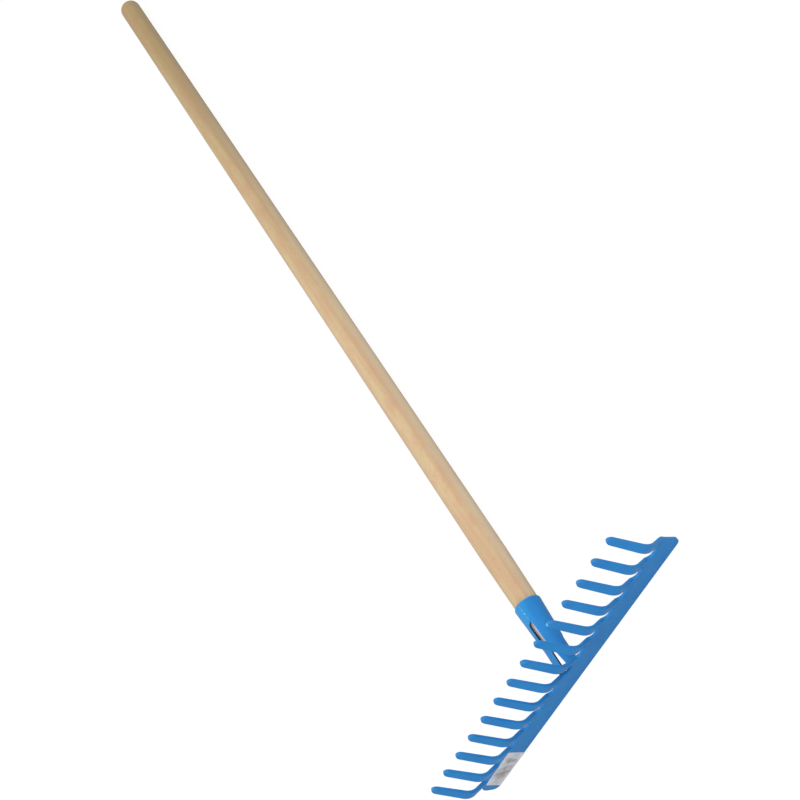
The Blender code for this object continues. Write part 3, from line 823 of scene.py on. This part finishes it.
def build_label(paper):
    """A bare sticker: a four-cornered patch of the plate with round corners, just above it.

    u and v run from -1 to 1 along and across it, and its corners are blended by them. Its
    height is a slow ripple of two sines of u and v, and one corner lifts by the square of
    the distance past a line. Its underside lies in the paint.
    """
    across = np.linspace(-1, 1, LABEL_COLUMNS)
    to_end = np.clip(LABEL_ROUND - (1 - np.abs(across)) * LABEL_LENGTH / 2, 0, LABEL_ROUND)
    reach = 1 - (LABEL_ROUND - np.sqrt(LABEL_ROUND ** 2 - to_end ** 2)) * 2 / LABEL_DEPTH
    u, v = np.meshgrid(across, np.linspace(-1, 1, LABEL_ROWS))
    v = v * reach
    low = (1 - u)[..., None] * LABEL_CORNERS[0] + (1 + u)[..., None] * LABEL_CORNERS[1]
    high = (1 - u)[..., None] * LABEL_CORNERS[3] + (1 + u)[..., None] * LABEL_CORNERS[2]
    flat = ((1 - v)[..., None] * low + (1 + v)[..., None] * high) / 4
    x, travel = flat[..., 0].ravel(), flat[..., 1].ravel()
    u, v = u.ravel(), v.ravel()
    wave = sum(np.sin(long * u + wide * v + phase) for long, wide, phase in LABEL_WAVES)
    long, wide, start = LABEL_CURL_LINE
    curl = np.clip(long * u + wide * v + start, 0, 1) ** 2
    seat = edge_height(travel, PLATE / 2, PLATE_EDGE)
    outer = bend_head(x, travel,
                      seat + LABEL_LIFT * (1 + LABEL_RIPPLE * wave) + LABEL_CURL * curl)
    inner = bend_head(x, travel, seat - LABEL_LIFT)
    no_triangles = np.zeros((0, 3), int)
    faces = sheet_faces(grid_quads(LABEL_ROWS, LABEL_COLUMNS), no_triangles, len(x))
    label = to_mesh("bare_label", np.concatenate([outer, inner]), faces)
    label.data.materials.append(paper)
    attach(label, BODY)


# Materials

def colour(code):
    """Linear colour of an sRGB hex code."""
    channels = np.array([int(code[k:k + 2], 16) for k in (1, 3, 5)]) / 255
    linear = np.where(channels <= 0.04045, channels / 12.92, ((channels + 0.055) / 1.055) ** 2.4)
    return (*linear.tolist(), 1.0)


def start_tree(owner):
    """The emptied node tree of a material or a world."""
    owner.use_nodes = True
    owner.node_tree.nodes.clear()
    return owner.node_tree


def add(tree, kind, inputs=None, **settings):
    """Add a node; settings are its properties, inputs are values or sockets by name or number."""
    item = tree.nodes.new(kind)
    for key, value in settings.items():
        setattr(item, key, value)
    for key, value in (inputs or {}).items():
        if isinstance(value, bpy.types.NodeSocket):
            tree.links.new(value, item.inputs[key])
        else:
            item.inputs[key].default_value = value
    return item


def combine(tree, operation, first, second):
    """Result of an operation on two values."""
    return add(tree, "ShaderNodeMath", {0: first, 1: second}, operation=operation).outputs[0]


def blend(tree, share, low, high):
    """Mix two colours by a share."""
    return add(tree, "ShaderNodeMix", {0: share, 6: low, 7: high}, data_type="RGBA").outputs[2]


def coats(tree, base, *layers):
    """Lay colours over a base, one after another, each by its own share."""
    for share, tone in layers:
        base = blend(tree, share, base, tone)
    return base


def ramp(tree, value, low, high, out_low=0.0, out_high=1.0):
    """Stretch a value between two limits to a new range, clamped."""
    return add(tree, "ShaderNodeMapRange",
               {"Value": value, "From Min": low, "From Max": high,
                "To Min": out_low, "To Max": out_high}).outputs[0]


def noise(tree, place, size, detail, along=1):
    """Noise whose features are about size millimetres wide, stretched along the handle."""
    scale = [1 / (size * MM * stretch) for stretch in (1, along, 1)]
    mapped = add(tree, "ShaderNodeMapping", {"Vector": place, "Scale": scale})
    return add(tree, "ShaderNodeTexNoise",
               {"Vector": mapped.outputs[0], "Scale": 1.0, "Detail": detail,
                "Roughness": NOISE_ROUGHNESS}).outputs["Fac"]


def pattern(tree, place, size, detail, along, *limits):
    """Noise stretched between two limits, as the values under Patterns say."""
    return ramp(tree, noise(tree, place, size, detail, along), *limits)


def spot(tree, place, middle, half_sizes, full):
    """A soft ellipsoid mask: 0 at its surface, rising evenly to 1 at a share of the way in."""
    scale = 1 / (np.array(half_sizes) * MM)
    offset = -scale * (HOME + np.array(middle) * MM)
    mapped = add(tree, "ShaderNodeMapping",
                 {"Vector": place, "Location": offset.tolist(), "Scale": scale.tolist()})
    ball = add(tree, "ShaderNodeTexGradient", {"Vector": mapped.outputs[0]},
               gradient_type="SPHERICAL")
    return ramp(tree, ball.outputs["Fac"], 0.0, full)


def below_rim(tree, along, first, last):
    """A value that goes from 0 to 1 between two drops."""
    return ramp(tree, along, HOME[1] - first * MM, HOME[1] - last * MM)


def above_cone(tree, place, along):
    """Metres by which a point stands out of the socket's cone."""
    offset = add(tree, "ShaderNodeVectorMath", {0: place, 1: HOME.tolist()}, operation="SUBTRACT")
    flat = add(tree, "ShaderNodeVectorMath", {0: offset.outputs[0], 1: (1, 0, 1)},
               operation="MULTIPLY")
    reach = add(tree, "ShaderNodeVectorMath", {0: flat.outputs[0]}, operation="LENGTH")
    cone = ramp(tree, along, HOME[1] - CONE_LENGTH * MM, HOME[1],
                (RIM_RADIUS - SOCKET_TAPER) * MM, RIM_RADIUS * MM)
    return combine(tree, "SUBTRACT", reach.outputs["Value"], cone)


def start_material(name):
    """A new material, its tree, and the place of a point of the surface."""
    material = bpy.data.materials.new(name)
    tree = start_tree(material)
    return material, tree, add(tree, "ShaderNodeTexCoord").outputs["Object"]


def finish_material(tree, base, relief, depth, inputs):
    """A Principled shader with a colour, a bump some millimetres deep and other inputs."""
    bump = add(tree, "ShaderNodeBump",
               {"Height": relief, "Strength": BUMP_STRENGTH, "Distance": depth * MM})
    shader = add(tree, "ShaderNodeBsdfPrincipled",
                 {"Base Color": base, "Normal": bump.outputs[0], **inputs})
    add(tree, "ShaderNodeOutputMaterial", {"Surface": shader.outputs["BSDF"]})


def enamel_paint():
    """Blue stoving enamel on pressed steel: a soft sheen, faint orange peel and clouding.

    The paint is paler in patches at the tips of the teeth and along the rim. A painted
    highlight makes it lighter on the top of the socket over the seam weld, painted glints
    make it pale where the welds and the nail head stand out, and painted shade makes it
    dark inside the socket.
    """
    material, tree, place = start_material("stoved_enamel_on_steel")
    axes = add(tree, "ShaderNodeSeparateXYZ", {0: place}).outputs
    along = axes["Y"]
    tip = combine(tree, "MULTIPLY", pattern(tree, place, *TIP_PALE_PATTERN),
                  ramp(tree, axes["Z"], *(height * MM for height in TIP_PALE_HEIGHTS)))
    rim = combine(tree, "MULTIPLY", pattern(tree, place, *RIM_PALE_PATTERN),
                  below_rim(tree, along, *RIM_PALE_BAND))
    proud = above_cone(tree, place, along)
    # Painted shade: the paint is darkened inside the sheet of the socket.
    sunk = ramp(tree, proud, *(height * MM for height in SUNK_HEIGHTS))
    sunk = combine(tree, "MULTIPLY", sunk, below_rim(tree, along, *SUNK_START))
    sunk = combine(tree, "MULTIPLY", sunk, below_rim(tree, along, *SUNK_END))
    # Painted highlight: pale glints where the welds and the nail head stand out of the cone.
    painted_glint = combine(tree, "MULTIPLY", below_rim(tree, along, *GLINT_END),
                     ramp(tree, proud, *(height * MM for height in GLINT_HEIGHTS)))
    base = blend(tree, pattern(tree, place, *PAINT_CLOUD),
                 colour(PAINT_DEEP), colour(PAINT_CLEAR))
    base = coats(tree, base,
                 (pattern(tree, place, *PAINT_DRIFT), colour(PAINT_TEAL)),
                 (tip, colour(PAINT_TIP)),
                 (rim, colour(PAINT_RIM_PALE)),
                 # Painted highlight on the socket's top, painted shade inside it, painted glints
                 # on the welds and the nail.
                 (spot(tree, place, *SEAM_HIGHLIGHT_SPOT, SEAM_HIGHLIGHT_SPOT_FULL), colour(PAINT_SEAM_HIGHLIGHT)),
                 (combine(tree, "MULTIPLY", sunk, INSIDE_SHADE_SHARE), colour(PAINT_INSIDE_SHADE)),
                 (painted_glint, colour(PAINT_GLINT)))
    finish_material(tree, base, noise(tree, place, *PAINT_PEEL), PAINT_RELIEF,
                    {"Roughness": pattern(tree, place, *PAINT_ROUGH), "IOR": PAINT_IOR})
    return material


def beech():
    """Steamed beech, turned and sanded but not varnished: grain, pink patches and flecks.

    Painted light makes the stave paler on its +X side. Toward the grip end the wood turns
    darker and more olive, painted shade of the light falling off along the handle, and the
    wood inside the socket is painted a pale pinkish grey, painted light against its shade.
    """
    material, tree, place = start_material("sanded_beech")
    axes = add(tree, "ShaderNodeSeparateXYZ", {0: place}).outputs
    along = axes["Y"]
    # Painted shade: darker toward the grip end, standing in for the light falling off along the
    # handle.
    grip = below_rim(tree, along, *GRIP_SHADE_REACH)

    def shade_toward_grip(pair):
        """A colour that turns from the shaft's into the grip end's darker one, as painted shade.
        """
        return blend(tree, grip, colour(pair[0]), colour(pair[1]))

    fibre = pattern(tree, place, *WOOD_FIBRE)
    # Painted light: the +X side of the stave is painted paler.
    lit_side = ramp(tree, axes["X"], *(HOME[0] + side * MM for side in LIT_SIDE_REACH), 0.0, LIT_SIDE_SHARE)
    # Painted light: the wood below the rim is painted near white against the socket's shade.
    inside = combine(tree, "MULTIPLY", below_rim(tree, along, *TENON_PAINTED_LIGHT), TENON_PAINTED_LIGHT_SHARE)
    base = blend(tree, pattern(tree, place, *WOOD_FIGURE), shade_toward_grip(WOOD_PINK), shade_toward_grip(WOOD_PALE))
    base = coats(tree, base,
                 (pattern(tree, place, *WOOD_PATCH), shade_toward_grip(WOOD_FLUSH)),
                 (combine(tree, "MULTIPLY", fibre, WOOD_DARK_SHARE), colour(WOOD_DARK)),
                 (pattern(tree, place, *WOOD_FLECK), colour(WOOD_RAY)),
                 (lit_side, shade_toward_grip(WOOD_LIT_SIDE)),
                 (inside, colour(WOOD_INSIDE_LIT)))
    finish_material(tree, base, fibre, WOOD_RELIEF,
                    {"Roughness": WOOD_ROUGHNESS, "IOR": WOOD_IOR, "Sheen Weight": WOOD_SHEEN,
                     "Sheen Roughness": WOOD_SHEEN_ROUGHNESS})
    return material


def label_paper():
    """Coated label paper stuck on paint: off-white and matt, rubbed grey and beige within."""
    material, tree, place = start_material("coated_label_paper")
    stain = combine(tree, "MULTIPLY", pattern(tree, place, *LABEL_STAIN),
                    spot(tree, place, *LABEL_SPOT, LABEL_SPOT_FULL))
    base = blend(tree, pattern(tree, place, *LABEL_SCUFF),
                 colour(PAPER_DULL), colour(PAPER_CLEAN))
    base = blend(tree, stain, base, colour(PAPER_STAIN))
    finish_material(tree, base, noise(tree, place, *LABEL_GRAIN), PAPER_RELIEF,
                    {"Roughness": PAPER_ROUGHNESS, "IOR": PAPER_IOR})
    return material


# Studio

def shown(tree, mirror_share):
    """1 for a ray from the camera or through glass, and a share of it for a reflected ray."""
    path = add(tree, "ShaderNodeLightPath").outputs
    clear = combine(tree, "MAXIMUM", path["Is Camera Ray"], path["Is Transmission Ray"])
    mirror = combine(tree, "MULTIPLY", path["Is Glossy Ray"], mirror_share)
    return combine(tree, "MAXIMUM", clear, mirror)


def build_floor():
    """A pale matt floor that the camera sees as white, apart from the object's shadow."""
    corners = [(-FLOOR_REACH, -FLOOR_REACH, 0), (FLOOR_REACH, -FLOOR_REACH, 0),
               (FLOOR_REACH, FLOOR_REACH, 0), (-FLOOR_REACH, FLOOR_REACH, 0)]
    mesh = bpy.data.meshes.new("studio_floor")
    mesh.from_pydata(corners, [], [(0, 1, 2, 3)])
    floor = bpy.data.objects.new("studio_floor", mesh)
    bpy.context.scene.collection.objects.link(floor)
    material = bpy.data.materials.new("studio_white")
    tree = start_tree(material)
    share = combine(tree, "MULTIPLY", shown(tree, FLOOR_MIRROR), FLOOR_GLOW)
    matte = add(tree, "ShaderNodeBsdfDiffuse", {"Color": colour(FLOOR_TONE)}).outputs[0]
    glow = add(tree, "ShaderNodeEmission", {"Color": WHITE, "Strength": FLOOR_WHITE}).outputs[0]
    mixed = add(tree, "ShaderNodeMixShader", {0: share, 1: matte, 2: glow}).outputs[0]
    add(tree, "ShaderNodeOutputMaterial", {"Surface": mixed})
    mesh.materials.append(material)


def build_lights():
    """Two soft round lamps and a plain world that the camera sees as white."""
    world = bpy.data.worlds.new("studio_world")
    tree = start_tree(world)
    strength = ramp(tree, shown(tree, WORLD_MIRROR), 0, 1, WORLD_LEVEL, 1.0)
    light = add(tree, "ShaderNodeBackground", {"Color": WHITE, "Strength": strength}).outputs[0]
    add(tree, "ShaderNodeOutputWorld", {"Surface": light})
    bpy.context.scene.world = world
    for name, arm, width, watts in LAMPS:
        lamp = bpy.data.lights.new(name, "AREA")
        lamp.shape = "DISK"
        lamp.size = width
        lamp.energy = watts
        holder = bpy.data.objects.new(name, lamp)
        holder.location = Vector(LAMP_AIM) + Vector(arm)
        holder.rotation_euler = Vector(arm).to_track_quat("Z", "Y").to_euler()
        bpy.context.scene.collection.objects.link(holder)
    bpy.context.scene.view_settings.view_transform = "Standard"


def build_camera():
    """The photograph's viewpoint: a long lens beside the head, looking along the handle."""
    lens = bpy.data.cameras.new("photo_camera")
    lens.lens = CAMERA_LENS
    lens.sensor_width = CAMERA_SENSOR
    lens.clip_end = CAMERA_CLIP
    lens.shift_x, lens.shift_y = CAMERA_SHIFT
    camera = bpy.data.objects.new("photo_camera", lens)
    back = Vector(CAMERA_BACK).normalized()
    up = back.cross(Vector(CAMERA_RIGHT)).normalized()
    right = up.cross(back)
    place = HOME + np.array(CAMERA_PLACE) * MM
    camera.matrix_world = Matrix.Translation(place.tolist()) @ Matrix(
        (right, up, back)).transposed().to_4x4()
    bpy.context.scene.collection.objects.link(camera)
    bpy.context.scene.camera = camera


build_camera()
build_floor()
build_lights()
PAINT = enamel_paint()
build_head(PAINT)
build_socket(PAINT)
build_handle(beech())
build_seam_bead(PAINT)
build_foot_beads(PAINT)
build_nail(PAINT)
build_label(label_paper())
